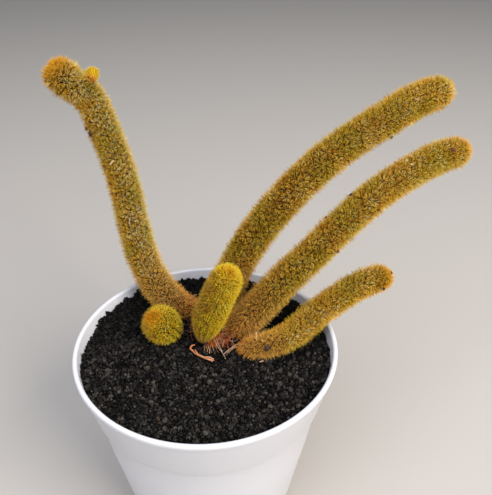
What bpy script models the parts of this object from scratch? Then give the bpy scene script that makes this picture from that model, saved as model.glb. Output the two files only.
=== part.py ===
# A rat tail cactus in a round plastic pot: six spiny stems that spread from one crown, a bed of
# dark grit, and a forked dry stalk lying at the crown. Metres, +Z up, with the origin at the
# middle of the pot's flat underside and the front of the pot towards -Y.
import math
import random

import bmesh
import bpy
from mathutils import Matrix, Vector, noise
from mathutils.bvhtree import BVHTree

# Pot: the rim is 170 mm across and everything else follows it.
RIM_RADIUS = 0.085
POT_HEIGHT = 0.145
LIP_WIDTH = 0.0029
LIP_HEIGHT = 0.0034
COLLAR_DEPTH = 0.0335
COLLAR_INSET = 0.0008
STEP_WIDTH = 0.0021
WALL_TAPER = 0.175
WALL = 0.0018
FLOOR = 0.0025
FOOT_ROUND = 0.0025
STEP_RISE = 0.0003
INNER_STEP = (0.0022, -0.0012)
POT_STEPS = 44
SMOOTH_BELOW = math.radians(35)
DRAIN_RADIUS = 0.0045
DRAIN_CIRCLE = 0.036
DRAIN_COUNT = 6
DRAIN_SIDES = 10

# Touching pieces keep this gap.
GAP = 0.0003

# Grit: its level under the rim, and the pitch, height and sideways shift of its lumps.
GRIT_BELOW_RIM = 0.0062
GRIT_PITCH = 0.0071
GRIT_LUMP = 0.0013
GRIT_SWELL = 0.0012
GRIT_SWELL_WIDTH = 0.035
GRIT_SHIFT = 0.0012
GRIT_SEED = 5
HOLE_CLEARANCE = 0.0006
HOLE_SIDES = 12
GRIT_TOP = POT_HEIGHT - GRIT_BELOW_RIM
GRIT_HIGHEST = GRIT_TOP + GRIT_LUMP + GRIT_SWELL

# Stems: the ribs and the three-sided spines that all of them share.
RIBS = 16
RIB_DEPTH = 0.16
RING_PITCH = 0.022
RING_TURN = math.radians(9)
RING_STEP = 0.001
ROOT_DEPTH = 0.012
WAIST_SHARES = (0.35, 0.75)
DOME_SHARE = 1.05
DOME_ANGLES = (35, 63, 83)
SPINE_PITCH = 0.0138
SPINE_SPACING = 0.0062
SPINE_LENGTH = 0.0043
SPINE_SPREAD = (0.85, 1.15)
SPINE_RADIUS = 0.00042
SPINE_SUNK = 0.0023
SPINE_LEAN = (8, 38)
GOLDEN_ANGLE = math.pi * (3 - math.sqrt(5))

# Each stem: its radius to the top of the ribs, the middle line from where it leaves the grit to
# its tip and, where the stem swells from a narrower foot, that foot's radius and how far along
# it is at its full girth.
STEMS = {
    "stem_left": {
        "radius": 0.0092,
        "colour": (0.42, 0.26, 0.05),
        "path": (
            (-0.0153, 0.0373, 0.1390),
            (-0.0250, 0.0398, 0.1468),
            (-0.0355, 0.0465, 0.1580),
            (-0.0451, 0.0581, 0.1725),
            (-0.0532, 0.0724, 0.1907),
            (-0.0591, 0.0851, 0.2088),
            (-0.0656, 0.0962, 0.2269),
            (-0.0728, 0.1040, 0.2455),
            (-0.0780, 0.1072, 0.2605),
            (-0.0820, 0.1070, 0.2708),
            (-0.0856, 0.1046, 0.2786),
            (-0.0905, 0.1000, 0.2852),
            (-0.1020, 0.0898, 0.2950),
        ),
    },
    "stem_back": {
        "radius": 0.0092,
        "colour": (0.40, 0.27, 0.06),
        "path": (
            (0.0086, 0.0419, 0.1390),
            (0.0130, 0.0404, 0.1605),
            (0.0217, 0.0407, 0.1818),
            (0.0343, 0.0435, 0.2029),
            (0.0457, 0.0476, 0.2168),
            (0.0692, 0.0580, 0.2388),
            (0.0856, 0.0661, 0.2496),
            (0.1140, 0.0806, 0.2631),
            (0.1426, 0.0967, 0.2736),
            (0.1658, 0.1078, 0.2772),
        ),
    },
    "stem_right": {
        "radius": 0.0082,
        "colour": (0.42, 0.26, 0.05),
        "path": (
            (0.0189, 0.0178, 0.1390),
            (0.0266, 0.0163, 0.1502),
            (0.0385, 0.0166, 0.1658),
            (0.0507, 0.0201, 0.1792),
            (0.0646, 0.0262, 0.1907),
            (0.0917, 0.0418, 0.2115),
            (0.1142, 0.0569, 0.2241),
            (0.1359, 0.0702, 0.2319),
            (0.1586, 0.0832, 0.2374),
            (0.1797, 0.0926, 0.2392),
        ),
    },
    "stem_low": {
        "radius": 0.0070,
        "colour": (0.44, 0.25, 0.05),
        "path": (
            (0.0238, -0.0022, 0.1390),
            (0.0268, -0.0042, 0.1447),
            (0.0330, -0.0056, 0.1488),
            (0.0425, -0.0044, 0.1506),
            (0.0542, 0.0014, 0.1522),
            (0.0762, 0.0168, 0.1582),
            (0.1031, 0.0325, 0.1662),
            (0.1225, 0.0382, 0.1700),
        ),
    },
    "stem_centre": {
        "radius": 0.0094,
        "colour": (0.55, 0.42, 0.03),
        "foot": 0.0062,
        "waist": 0.017,
        "path": (
            (-0.0029, 0.0076, 0.1390),
            (0.0009, 0.0047, 0.1568),
            (0.0070, 0.0016, 0.1762),
            (0.0134, -0.0023, 0.1944),
            (0.0163, -0.0060, 0.2030),
        ),
    },
    "stem_ball": {
        "radius": 0.0113,
        "colour": (0.55, 0.38, 0.04),
        "foot": 0.0072,
        "waist": 0.014,
        "path": (
            (-0.0236, 0.0144, 0.1390),
            (-0.0265, 0.0112, 0.1452),
            (-0.0294, 0.0081, 0.1510),
            (-0.0338, 0.0033, 0.1610),
        ),
    },
}

# The young bud on the left stem's bend.
BUD_STEM = "stem_left"
BUD_CENTRE = (-0.0783, 0.1092, 0.2857)
BUD_RADIUS = 0.0032
BUD_STRETCH = 1.35
BUD_SIDES = 8
BUD_SPINES = 14
BUD_SPINE_LENGTH = 0.0024

# The dry stalk and its fork: places over the grit, with how far each is raised off it.
STALK_RADIUS = 0.0009
FORK_RADIUS = 0.0006
STALK_PATH = ((-0.0124, -0.0010, 0), (-0.0052, -0.0078, 0), (0.0010, -0.0112, 0), (0.0064, -0.0138, 0))
STALK_FORK = ((-0.0040, -0.0085, 0), (-0.0058, -0.0066, 0.0012), (-0.0072, -0.0054, 0.0030))
LINE_STEP = 6
SCRAP_ROOM = 0.0028


def clear_scene():
    for obj in list(bpy.data.objects):
        bpy.data.objects.remove(obj, do_unlink=True)


def new_collection(name, hidden=False):
    collection = bpy.data.collections.new(name)
    bpy.context.scene.collection.children.link(collection)
    collection.hide_render = hidden
    return collection


def new_object(name, mesh, collection):
    obj = bpy.data.objects.new(name, mesh)
    collection.objects.link(obj)
    return obj


def as_cutter(obj):
    """Shows a helper that cuts or limits a piece as wires and keeps it out of the render."""
    obj.hide_render = True
    obj.display_type = "WIRE"
    return obj


def mesh_from(bm, name):
    mesh = bpy.data.meshes.new(name)
    bmesh.ops.recalc_face_normals(bm, faces=bm.faces)
    bm.to_mesh(mesh)
    bm.free()
    return mesh


def give_material(obj, colour, roughness):
    material = bpy.data.materials.new(obj.name)
    material.use_nodes = True
    shader = material.node_tree.nodes["Principled BSDF"]
    shader.inputs["Base Color"].default_value = (*colour, 1)
    shader.inputs["Roughness"].default_value = roughness
    shader.inputs["Metallic"].default_value = 0
    obj.data.materials.clear()
    obj.data.materials.append(material)


def turned(name, profile, steps, collection):
    """A solid turned round Z from a closed profile of (radius, height) points."""
    bm = bmesh.new()
    points = [bm.verts.new((radius, 0, height)) for radius, height in profile]
    for first, second in zip(points, points[1:]):
        bm.edges.new((first, second))
    mesh = bpy.data.meshes.new(name)
    bm.to_mesh(mesh)
    bm.free()
    obj = new_object(name, mesh, collection)
    screw = obj.modifiers.new("turn", "SCREW")
    screw.steps = steps
    screw.render_steps = steps
    screw.use_merge_vertices = True
    screw.merge_threshold = 0.00001
    weld = obj.modifiers.new("weld", "WELD")
    weld.merge_threshold = 0.00001
    return obj


def evaluated_mesh(obj):
    graph = bpy.context.evaluated_depsgraph_get()
    return bpy.data.meshes.new_from_object(obj.evaluated_get(graph))


def apply_modifiers(obj):
    mesh = evaluated_mesh(obj)
    obj.modifiers.clear()
    obj.data = mesh


def boolean(obj, other, operation, solver="EXACT"):
    """Joins, cuts or keeps the part shared with an object, or with all of a collection."""
    modifier = obj.modifiers.new(operation.lower(), "BOOLEAN")
    modifier.operation = operation
    modifier.solver = solver
    if isinstance(other, bpy.types.Collection):
        modifier.operand_type = "COLLECTION"
        modifier.collection = other
    else:
        modifier.object = other


def remove_objects(collection):
    for obj in list(collection.objects):
        bpy.data.objects.remove(obj, do_unlink=True)


def collar_radius(height):
    """The outer radius at a height if the collar ran all the way down the pot."""
    return RIM_RADIUS - COLLAR_INSET - WALL_TAPER * (POT_HEIGHT - height)


def body_radius(height):
    """The outer radius of the wall under the collar."""
    return collar_radius(height) - STEP_WIDTH


def pot_inside(inset):
    """The line of the pot's inner wall from its top down to its floor, moved in by inset."""
    collar_foot = POT_HEIGHT - COLLAR_DEPTH
    inner = WALL + inset
    return [
        (collar_radius(POT_HEIGHT) - inner, POT_HEIGHT),
        (collar_radius(collar_foot) - inner, collar_foot + INNER_STEP[0]),
        (body_radius(collar_foot) - inner, collar_foot + INNER_STEP[1]),
        (body_radius(FLOOR) - inner, FLOOR + inset),
    ]


def pot_profile():
    """The closed line that the pot is turned from: down its outside, then up its inside."""
    collar_foot = POT_HEIGHT - COLLAR_DEPTH
    lip_foot = POT_HEIGHT - LIP_HEIGHT
    lip_inner = RIM_RADIUS - LIP_WIDTH
    edge = LIP_WIDTH / 3
    outside = [
        (RIM_RADIUS - edge, POT_HEIGHT),
        (RIM_RADIUS, POT_HEIGHT - edge),
        (RIM_RADIUS, lip_foot + edge / 2),
        (collar_radius(lip_foot), lip_foot),
        (collar_radius(collar_foot), collar_foot + STEP_RISE),
        (body_radius(collar_foot), collar_foot),
        (body_radius(FOOT_ROUND), FOOT_ROUND),
        (body_radius(0) - FOOT_ROUND, 0),
        (0, 0),
    ]
    inside = [(0, FLOOR), *reversed(pot_inside(0)[1:])]
    inside += [(collar_radius(lip_foot) - WALL, lip_foot), (lip_inner, lip_foot + edge / 2)]
    inside += [(lip_inner, POT_HEIGHT - edge), (lip_inner + edge, POT_HEIGHT)]
    return outside + inside + outside[:1]


def drain_cutter(cutters):
    """One upright peg for each drain hole, on a circle round the middle of the floor."""
    bm = bmesh.new()
    for index in range(DRAIN_COUNT):
        turn = Matrix.Rotation(2 * math.pi * (index + 0.5) / DRAIN_COUNT, 4, "Z")
        place = turn @ Matrix.Translation((DRAIN_CIRCLE, 0, FLOOR / 2))
        bmesh.ops.create_cone(
            bm, cap_ends=True, segments=DRAIN_SIDES, radius1=DRAIN_RADIUS, radius2=DRAIN_RADIUS,
            depth=FLOOR * 3, matrix=place,
        )
    return as_cutter(new_object("drain_cutter", mesh_from(bm, "drain_cutter"), cutters))


def make_pot(collection, cutters):
    """A turned shell with a rounded lip, a collar, a tapered wall and drain holes in its floor."""
    pot = turned("pot", pot_profile(), POT_STEPS, collection)
    apply_modifiers(pot)
    boolean(pot, drain_cutter(cutters), "DIFFERENCE")
    apply_modifiers(pot)
    pot.data.shade_smooth()
    pot.data.set_sharp_from_angle(angle=SMOOTH_BELOW)
    give_material(pot, (0.80, 0.79, 0.78), 0.35)


def smooth_line(points):
    """Points along the smooth curve that Blender draws through the given ones."""
    curve = bpy.data.curves.new("line", "CURVE")
    curve.dimensions = "3D"
    curve.resolution_u = 12
    spline = curve.splines.new("BEZIER")
    spline.bezier_points.add(len(points) - 1)
    for knot, point in zip(spline.bezier_points, points):
        knot.co = point
        knot.handle_left_type = "AUTO"
        knot.handle_right_type = "AUTO"
    obj = new_object("line", curve, bpy.context.scene.collection)
    mesh = evaluated_mesh(obj)
    line = [vertex.co.copy() for vertex in mesh.vertices]
    bpy.data.objects.remove(obj, do_unlink=True)
    bpy.data.meshes.remove(mesh)
    return line


class Path:
    """A smooth line that is read by its length, with a side direction that never twists."""

    def __init__(self, points):
        self.line = smooth_line([Vector(point) for point in points])
        self.along = [0.0]
        for first, second in zip(self.line, self.line[1:]):
            self.along.append(self.along[-1] + (second - first).length)
        self.length = self.along[-1]
        self.sides = []
        side = Vector((0, 0, 1)).cross(self.line[1] - self.line[0]).normalized()
        last = self.heading(0)
        for index in range(len(self.line)):
            heading = self.heading(index)
            side = last.rotation_difference(heading) @ side
            side = (side - heading * side.dot(heading)).normalized()
            self.sides.append(side)
            last = heading

    def heading(self, index):
        low = max(index - 1, 0)
        high = min(index + 1, len(self.line) - 1)
        return (self.line[high] - self.line[low]).normalized()

    def at(self, distance):
        """Place, heading and side at a distance along; before the start it goes straight on."""
        if distance <= 0:
            return self.line[0] + self.heading(0) * distance, self.heading(0), self.sides[0]
        index = 0
        while index < len(self.along) - 2 and self.along[index + 1] < distance:
            index += 1
        share = (distance - self.along[index]) / (self.along[index + 1] - self.along[index])
        place = self.line[index].lerp(self.line[index + 1], share)
        heading = self.heading(index).lerp(self.heading(index + 1), share).normalized()
        side = self.sides[index].lerp(self.sides[index + 1], share).normalized()
        return place, heading, side

    def distance_to(self, point):
        return min((point - place).length for place in self.line)


class Stem(Path):
    """A path with the girth of the stem that follows it."""

    def __init__(self, sizes):
        super().__init__(sizes["path"])
        self.radius = sizes["radius"]
        self.foot = sizes.get("foot", self.radius)
        self.waist = sizes.get("waist", RING_PITCH)
        self.dome = self.radius * DOME_SHARE
        self.straight = self.length - self.dome

    def girth(self, distance):
        share = min(max(distance / self.waist, 0), 1)
        return self.foot + (self.radius - self.foot) * math.sin(share * math.pi / 2)

    def rings(self):
        """The distances along and the radii of the stem's rings, with a dome at its tip."""
        places = ring_places(self, -ROOT_DEPTH, self.straight)
        if self.foot < self.radius:
            places += [self.waist * share for share in WAIST_SHARES]
        rings = [(place, self.girth(place)) for place in sorted(places)]
        for angle in DOME_ANGLES:
            turn = math.radians(angle)
            rings.append((self.straight + self.dome * math.sin(turn), self.radius * math.cos(turn)))
        return rings

    def surface(self, distance, angle):
        """A point on top of the ribs and the direction straight out of it."""
        turn = 0.0
        if distance > self.straight:
            turn = min((distance - self.straight) / self.dome, 1) * math.pi / 2
            distance = self.straight + self.dome * math.sin(turn)
        place, heading, side = self.at(distance)
        out = side * math.cos(angle) + heading.cross(side) * math.sin(angle)
        point = place + out * self.girth(distance) * math.cos(turn)
        return point, (out * math.cos(turn) + heading * math.sin(turn)).normalized()


def ring_matrix(path, distance, radius):
    """Puts a unit circle across the path at a distance along it, at the given radius."""
    place, heading, side = path.at(distance)
    turn = Matrix((side, heading.cross(side), heading)).transposed().to_4x4()
    return Matrix.Translation(place) @ turn @ Matrix.Scale(radius, 4)


def ring_places(path, start, stop):
    """Distances along the path, far apart where it runs straight and closer where it bends."""
    places = [start]
    heading = path.at(start)[1]
    distance = start
    while distance < stop - RING_PITCH / 3:
        distance += RING_STEP
        turned_by = heading.angle(path.at(distance)[1])
        if turned_by > RING_TURN or distance - places[-1] > RING_PITCH:
            places.append(distance)
            heading = path.at(distance)[1]
    if len(places) > 1 and stop - places[-1] < RING_PITCH / 3:
        places.pop()
    return [*places, stop]


def swept(path, rings, sides, rib_share):
    """A round or ribbed outline that is extruded and moved on from ring to ring along a path."""
    bm = bmesh.new()
    first = ring_matrix(path, *rings[0])
    last = first
    start = bmesh.ops.create_circle(bm, cap_ends=True, segments=sides, radius=1, matrix=first)
    centre = first.translation
    for vertex in start["verts"][1::2]:
        vertex.co = centre + (vertex.co - centre) * (1 - rib_share)
    end = bm.faces[:]
    for distance, ring_radius in rings[1:]:
        grown = bmesh.ops.extrude_face_region(bm, geom=end, use_keep_orig=True)
        if last != first:
            bmesh.ops.delete(bm, geom=end, context="FACES_ONLY")
        verts = [part for part in grown["geom"] if isinstance(part, bmesh.types.BMVert)]
        end = [part for part in grown["geom"] if isinstance(part, bmesh.types.BMFace)]
        this = ring_matrix(path, distance, ring_radius)
        bmesh.ops.transform(bm, matrix=this @ last.inverted(), verts=verts)
        last = this
    return bm


def spine_seats(stem, rng):
    """Roots and directions of a stem's spines: in staggered rows along the ribs, tip first."""
    last_row = math.ceil(stem.length / SPINE_PITCH)
    places = []
    for row in range(last_row, -1, -1):
        for rib in range(RIBS):
            places.append(((row + rib % 2 / 2) * SPINE_PITCH, 2 * math.pi * (rib + 0.25) / RIBS))
    seats = []
    for distance, angle in places:
        point, out = stem.surface(distance, angle)
        if any((point - other).length < SPINE_SPACING for other, _ in seats):
            continue
        lean = math.radians(rng.uniform(*SPINE_LEAN))
        across = Matrix.Rotation(rng.uniform(0, 2 * math.pi), 3, out) @ out.orthogonal()
        across.normalize()
        seats.append((point, (out * math.cos(lean) + across * math.sin(lean)).normalized()))
    return seats


def add_needle(bm, root, direction, length):
    """A three-sided spine whose root is sunk into what it grows from."""
    turn = direction.to_track_quat("Z", "Y").to_matrix().to_4x4()
    middle = root + direction * (length - SPINE_SUNK) / 2
    bmesh.ops.create_cone(
        bm, cap_ends=True, segments=3, radius1=SPINE_RADIUS, radius2=0,
        depth=length + SPINE_SUNK, matrix=Matrix.Translation(middle) @ turn,
    )


def is_clear(stem, ends, stems, scraps):
    """Whether a spine keeps clear of the grit, the pot's rim, the other stems and the scraps."""
    if min(end.z for end in ends) < GRIT_HIGHEST + GAP:
        return False
    widest = max(end.xy.length for end in ends)
    if widest > RIM_RADIUS - SPINE_LENGTH * 2 and ends[1].z < POT_HEIGHT + GAP:
        return False
    if any((end - point).length < SCRAP_ROOM for end in ends for point in scraps):
        return False
    for other in stems.values():
        reach = other.radius + SPINE_LENGTH
        if other != stem and min(other.distance_to(end) for end in ends) < reach:
            return False
    return True


def add_bud(needles, stem, helpers):
    """A small egg with its end sunk in the left stem's bend, with short spines on a spiral."""
    centre = Vector(BUD_CENTRE)
    foot = min(stem.line, key=lambda place: (place - centre).length)
    turn = (centre - foot).to_track_quat("Z", "Y").to_matrix().to_4x4()
    place = Matrix.Translation(centre) @ turn @ Matrix.Diagonal((1, 1, BUD_STRETCH, 1))
    bud = bmesh.new()
    bmesh.ops.create_uvsphere(
        bud, u_segments=BUD_SIDES, v_segments=BUD_SIDES - 2, radius=BUD_RADIUS, matrix=place
    )
    new_object("bud_egg", mesh_from(bud, "bud_egg"), helpers)
    for index in range(BUD_SPINES):
        height = 1 - 2 * (index + 0.5) / BUD_SPINES
        angle = index * GOLDEN_ANGLE
        level = math.sqrt(1 - height * height)
        root = place @ (Vector((level * math.cos(angle), level * math.sin(angle), height)) * BUD_RADIUS)
        out = (root - centre).normalized()
        if stem.distance_to(root) > stem.radius + BUD_SPINE_LENGTH / 2:
            add_needle(needles, root, out, BUD_SPINE_LENGTH)


def make_stem(name, number, stems, scraps, collection, helpers):
    """A ribbed stem with its spines fused in, and the bud too on the left one."""
    stem = stems[name]
    rng = random.Random(number)
    core = swept(stem, stem.rings(), 2 * RIBS, RIB_DEPTH)
    obj = new_object(name, mesh_from(core, name), collection)
    needles = bmesh.new()
    for root, direction in spine_seats(stem, rng):
        length = SPINE_LENGTH * rng.uniform(*SPINE_SPREAD)
        if is_clear(stem, (root, root + direction * length), stems, scraps):
            add_needle(needles, root, direction, length)
    if name == BUD_STEM:
        add_bud(needles, stem, helpers)
    new_object("spray", mesh_from(needles, "spray"), helpers)
    boolean(obj, helpers, "UNION")
    apply_modifiers(obj)
    remove_objects(helpers)
    give_material(obj, STEMS[name]["colour"], 0.75)


def hole_cutter(name, stem, cutters):
    """A plain round peg along a stem's foot, up to the first of its rings that is off the grit."""
    rings = [(-ROOT_DEPTH - GAP, stem.girth(0) + HOLE_CLEARANCE)]
    for distance, radius in stem.rings()[1:]:
        rings.append((distance, radius + HOLE_CLEARANCE))
        place, heading, _ = stem.at(distance)
        if place.z - radius * math.sqrt(1 - heading.z**2) > GRIT_HIGHEST:
            break
    peg = mesh_from(swept(stem, rings, HOLE_SIDES, 0), name + "_hole")
    return as_cutter(new_object(name + "_hole", peg, cutters))


def make_grit(stems, collection, cutters):
    """The bed of grit: a lumpy block kept to the pot's inside, with a plain hole for each stem."""
    rng = random.Random(GRIT_SEED)
    cells = math.ceil(2 * RIM_RADIUS / GRIT_PITCH)
    bm = bmesh.new()
    bmesh.ops.create_grid(bm, x_segments=cells, y_segments=cells, size=cells * GRIT_PITCH / 2)
    for vertex in bm.verts:
        vertex.co.x += rng.uniform(-GRIT_SHIFT, GRIT_SHIFT)
        vertex.co.y += rng.uniform(-GRIT_SHIFT, GRIT_SHIFT)
        swell = noise.noise(Vector((vertex.co.x, vertex.co.y, 0)) / GRIT_SWELL_WIDTH)
        vertex.co.z = GRIT_TOP + GRIT_SWELL * swell + GRIT_LUMP * rng.uniform(-1, 1)
    bmesh.ops.triangulate(bm, faces=bm.faces)
    grown = bmesh.ops.extrude_face_region(bm, geom=bm.faces[:], use_keep_orig=True)
    lower = [part for part in grown["geom"] if isinstance(part, bmesh.types.BMVert)]
    for vertex in lower:
        vertex.co.z = 0
    bmesh.ops.dissolve_faces(bm, faces=[f for f in bm.faces if all(v.co.z == 0 for v in f.verts)])
    grit = new_object("grit", mesh_from(bm, "grit"), collection)
    inside = pot_inside(GAP)
    limit = turned("grit_limit", [(0, POT_HEIGHT), *inside, (0, inside[-1][1])], POT_STEPS, cutters)
    apply_modifiers(limit)
    boolean(grit, as_cutter(limit), "INTERSECT")
    for name, stem in stems.items():
        boolean(grit, hole_cutter(name, stem, cutters), "DIFFERENCE")
    apply_modifiers(grit)
    give_material(grit, (0.012, 0.011, 0.012), 0.85)
    return grit


def ground_under(point, radius, ground):
    """The highest grit within a scrap's width of a point."""
    hits = []
    for dx in (-radius, 0, radius):
        for dy in (-radius, 0, radius):
            above = Vector((point.x + dx, point.y + dy, POT_HEIGHT))
            hits.append(ground.ray_cast(above, Vector((0, 0, -1)))[0].z)
    return max(hits)


def lying_line(points, radius, ground):
    """A line over the grit that clears the highest lump near each of its points."""
    line = smooth_line([Vector((x, y, 0)) for x, y, _ in points])
    heights = [ground_under(point, radius, ground) for point in line]
    rises = [rise for _, _, rise in points]
    lying = []
    for index in range(0, len(line), LINE_STEP):
        near = heights[max(index - LINE_STEP, 0):index + LINE_STEP + 1]
        share = index / (len(line) - 1) * (len(rises) - 1)
        low = min(int(share), len(rises) - 2)
        rise = rises[low] + (rises[low + 1] - rises[low]) * (share - low)
        lying.append(Vector((line[index].x, line[index].y, max(near) + radius + GAP + rise)))
    return lying


def tube(name, line, radius, collection):
    """A thin tube with closed ends along a line, made a mesh."""
    curve = bpy.data.curves.new(name, "CURVE")
    curve.dimensions = "3D"
    curve.bevel_depth = radius
    curve.bevel_resolution = 1
    curve.use_fill_caps = True
    spline = curve.splines.new("POLY")
    spline.points.add(len(line) - 1)
    for knot, point in zip(spline.points, line):
        knot.co = (*point, 1)
    drawn = new_object(name + "_curve", curve, collection)
    bm = bmesh.new()
    bm.from_mesh(evaluated_mesh(drawn))
    bmesh.ops.remove_doubles(bm, verts=bm.verts, dist=0.00001)
    matrix = drawn.matrix_world.copy()
    bpy.data.objects.remove(drawn, do_unlink=True)
    obj = new_object(name, mesh_from(bm, name), collection)
    obj.matrix_world = matrix
    return obj


def make_stalk(grit, collection, helpers):
    """A dry forked stalk that lies on the grit in front of the crown."""
    ground = BVHTree.FromObject(grit, bpy.context.evaluated_depsgraph_get())
    line = lying_line(STALK_PATH, STALK_RADIUS, ground)
    fork = lying_line(STALK_FORK, FORK_RADIUS, ground)
    stalk = tube("dry_stalk", line, STALK_RADIUS, collection)
    tube("fork", fork, FORK_RADIUS, helpers)
    boolean(stalk, helpers, "UNION")
    apply_modifiers(stalk)
    remove_objects(helpers)
    give_material(stalk, (0.45, 0.25, 0.13), 0.8)
    return line + fork


def main():
    clear_scene()
    plant = new_collection("potted_rat_tail_cactus")
    cutters = new_collection("cutters", hidden=True)
    helpers = new_collection("helpers", hidden=True)
    make_pot(plant, cutters)
    stems = {name: Stem(sizes) for name, sizes in STEMS.items()}
    grit = make_grit(stems, plant, cutters)
    scraps = make_stalk(grit, plant, helpers)
    for number, name in enumerate(STEMS):
        make_stem(name, number, stems, scraps, plant, helpers)


main()
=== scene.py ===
# Rat tail cactus in a white nursery pot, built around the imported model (metres, +Z up).
import math
import random
from bisect import bisect_left

import bmesh
import bpy
from mathutils import Matrix, Vector, noise
from mathutils.bvhtree import BVHTree


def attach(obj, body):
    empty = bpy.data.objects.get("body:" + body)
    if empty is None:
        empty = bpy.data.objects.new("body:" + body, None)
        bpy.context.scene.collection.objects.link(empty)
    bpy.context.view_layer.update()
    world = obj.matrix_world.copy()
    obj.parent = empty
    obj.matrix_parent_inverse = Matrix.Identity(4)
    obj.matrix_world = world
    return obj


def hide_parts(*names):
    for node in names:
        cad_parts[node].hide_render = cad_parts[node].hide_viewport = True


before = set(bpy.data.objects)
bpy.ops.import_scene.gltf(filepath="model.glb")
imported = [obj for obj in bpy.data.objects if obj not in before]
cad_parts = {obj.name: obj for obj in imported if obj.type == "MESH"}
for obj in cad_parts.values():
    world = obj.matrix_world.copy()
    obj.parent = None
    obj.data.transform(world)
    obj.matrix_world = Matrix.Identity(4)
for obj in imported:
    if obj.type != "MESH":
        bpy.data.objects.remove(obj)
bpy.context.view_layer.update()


def hexColour(text):
    # sRGB hex to the linear colour that the shaders work in
    parts = [int(text[k:k + 2], 16) / 255 for k in (1, 3, 5)]
    return (*[p / 12.92 if p <= 0.04045 else ((p + 0.055) / 1.055) ** 2.4 for p in parts], 1.0)


def addNode(tree, kind, settings=None, links=None):
    # settings go to the node or to its sockets, links come from other nodes' sockets
    node = tree.nodes.new(kind)
    for key, value in (settings or {}).items():
        if isinstance(value, str) and value.startswith("#"):
            value = hexColour(value)
        if key == "stops":
            marks = node.color_ramp.elements
            while len(marks) < len(value):
                marks.new(0.5)
            for mark, (position, colour) in zip(marks, value):
                mark.position = position
                mark.color = hexColour(colour)
        elif isinstance(key, str) and hasattr(node, key):
            setattr(node, key, value)
        else:
            node.inputs[key].default_value = value
    for key, source in (links or {}).items():
        tree.links.new(source, node.inputs[key])
    return node


def newMaterial(name, roughness, ior):
    material = bpy.data.materials.new(name)
    material.use_nodes = True
    tree = material.node_tree
    shader = tree.nodes["Principled BSDF"]
    shader.inputs["Roughness"].default_value = roughness
    shader.inputs["IOR"].default_value = ior
    shader.inputs["Metallic"].default_value = 0.0
    return material, tree, shader


def overlay(tree, tone, colour, source, low=0.0, high=1.0, share=1.0):
    # lays a colour over a tone, from none where the source is low to its full share where it is high;
    # both are sockets or hex colours, and the source is a socket or the name of a vertex's own value
    if isinstance(source, str):
        source = addNode(tree, "ShaderNodeAttribute", {"attribute_name": source}).outputs["Fac"]
    settings = {"From Min": low, "From Max": high, "To Max": share}
    links = {0: addNode(tree, "ShaderNodeMapRange", settings, {"Value": source}).outputs["Result"]}
    settings = {"data_type": "RGBA"}
    for socket, value in ((6, tone), (7, colour)):
        (settings if isinstance(value, str) else links)[socket] = value
    return addNode(tree, "ShaderNodeMix", settings, links).outputs[2]


def newPiece(name, bm, materials, node=None, smooth=True):
    mesh = bpy.data.meshes.new(name)
    bm.to_mesh(mesh)
    bm.free()
    for material in materials:
        mesh.materials.append(material)
    if smooth:
        mesh.shade_smooth()
    piece = bpy.data.objects.new(name, mesh)
    bpy.context.scene.collection.objects.link(piece)
    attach(piece, "root")
    if node:
        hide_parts(node)
    mesh.calc_loop_triangles()
    print(f"{name}: {len(mesh.loop_triangles)} triangles")
    return piece


# Camera, lamps and floor

view = {
    "place": (0.0258, -0.2968, 0.4058),  # where the photograph was taken from
    "tilt": 57.53,                       # degrees up from straight down
    "lens": 43.64, "sensor": 36,         # mm
    "nearest": 0.01,
}
lamps = {
    "keyLamp": {"place": (1.07, -0.92, 1.34), "size": 1.1, "watts": 44.0, "colour": "#FFF8F0"},
    "frontLamp": {"place": (-0.55, -1.05, 1.50), "size": 1.3, "watts": 21.0, "colour": "#F2F5FF"},
    "topLamp": {"place": (0.06, 0.20, 1.87), "size": 1.4, "watts": 12.5, "colour": "#EFF3FF"},
}
room = {
    "light": "#DDE3EA", "strength": 0.38,
    "floor": "#B4AFA9", "floorSize": 16.0, "floorSheen": 0.1,
    "aim": (0.03, 0.02, 0.17),           # where the lamps point
}


def makeStage():
    camera = bpy.data.objects.new("camera", bpy.data.cameras.new("camera"))
    camera.location = view["place"]
    camera.rotation_euler = (math.radians(view["tilt"]), 0, 0)
    camera.data.lens = view["lens"]
    camera.data.sensor_width = view["sensor"]
    camera.data.clip_start = view["nearest"]
    bpy.context.scene.collection.objects.link(camera)
    bpy.context.scene.camera = camera
    for name, lamp in lamps.items():
        light = bpy.data.lights.new(name, "AREA")
        light.energy = lamp["watts"]
        light.size = lamp["size"]
        light.color = hexColour(lamp["colour"])[:3]
        obj = bpy.data.objects.new(name, light)
        obj.location = lamp["place"]
        obj.rotation_euler = (obj.location - Vector(room["aim"])).to_track_quat("Z", "Y").to_euler()
        bpy.context.scene.collection.objects.link(obj)
    world = bpy.data.worlds.new("room")
    world.use_nodes = True
    sky = world.node_tree.nodes["Background"]
    sky.inputs["Color"].default_value = hexColour(room["light"])
    sky.inputs["Strength"].default_value = room["strength"]
    bpy.context.scene.world = world
    bpy.context.scene.view_settings.view_transform = "Standard"
    bm = bmesh.new()
    bmesh.ops.create_grid(bm, x_segments=1, y_segments=1, size=room["floorSize"] / 2)
    mesh = bpy.data.meshes.new("floor")
    bm.to_mesh(mesh)
    bm.free()
    paint, tree, shader = newMaterial("matt painted floor", 0.7, 1.5)
    shader.inputs["Specular IOR Level"].default_value = room["floorSheen"]
    shader.inputs["Base Color"].default_value = hexColour(room["floor"])
    mesh.materials.append(paint)
    floor = bpy.data.objects.new("floor", mesh)
    bpy.context.scene.collection.objects.link(floor)


# Lines that stems, straws and threads follow

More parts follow.
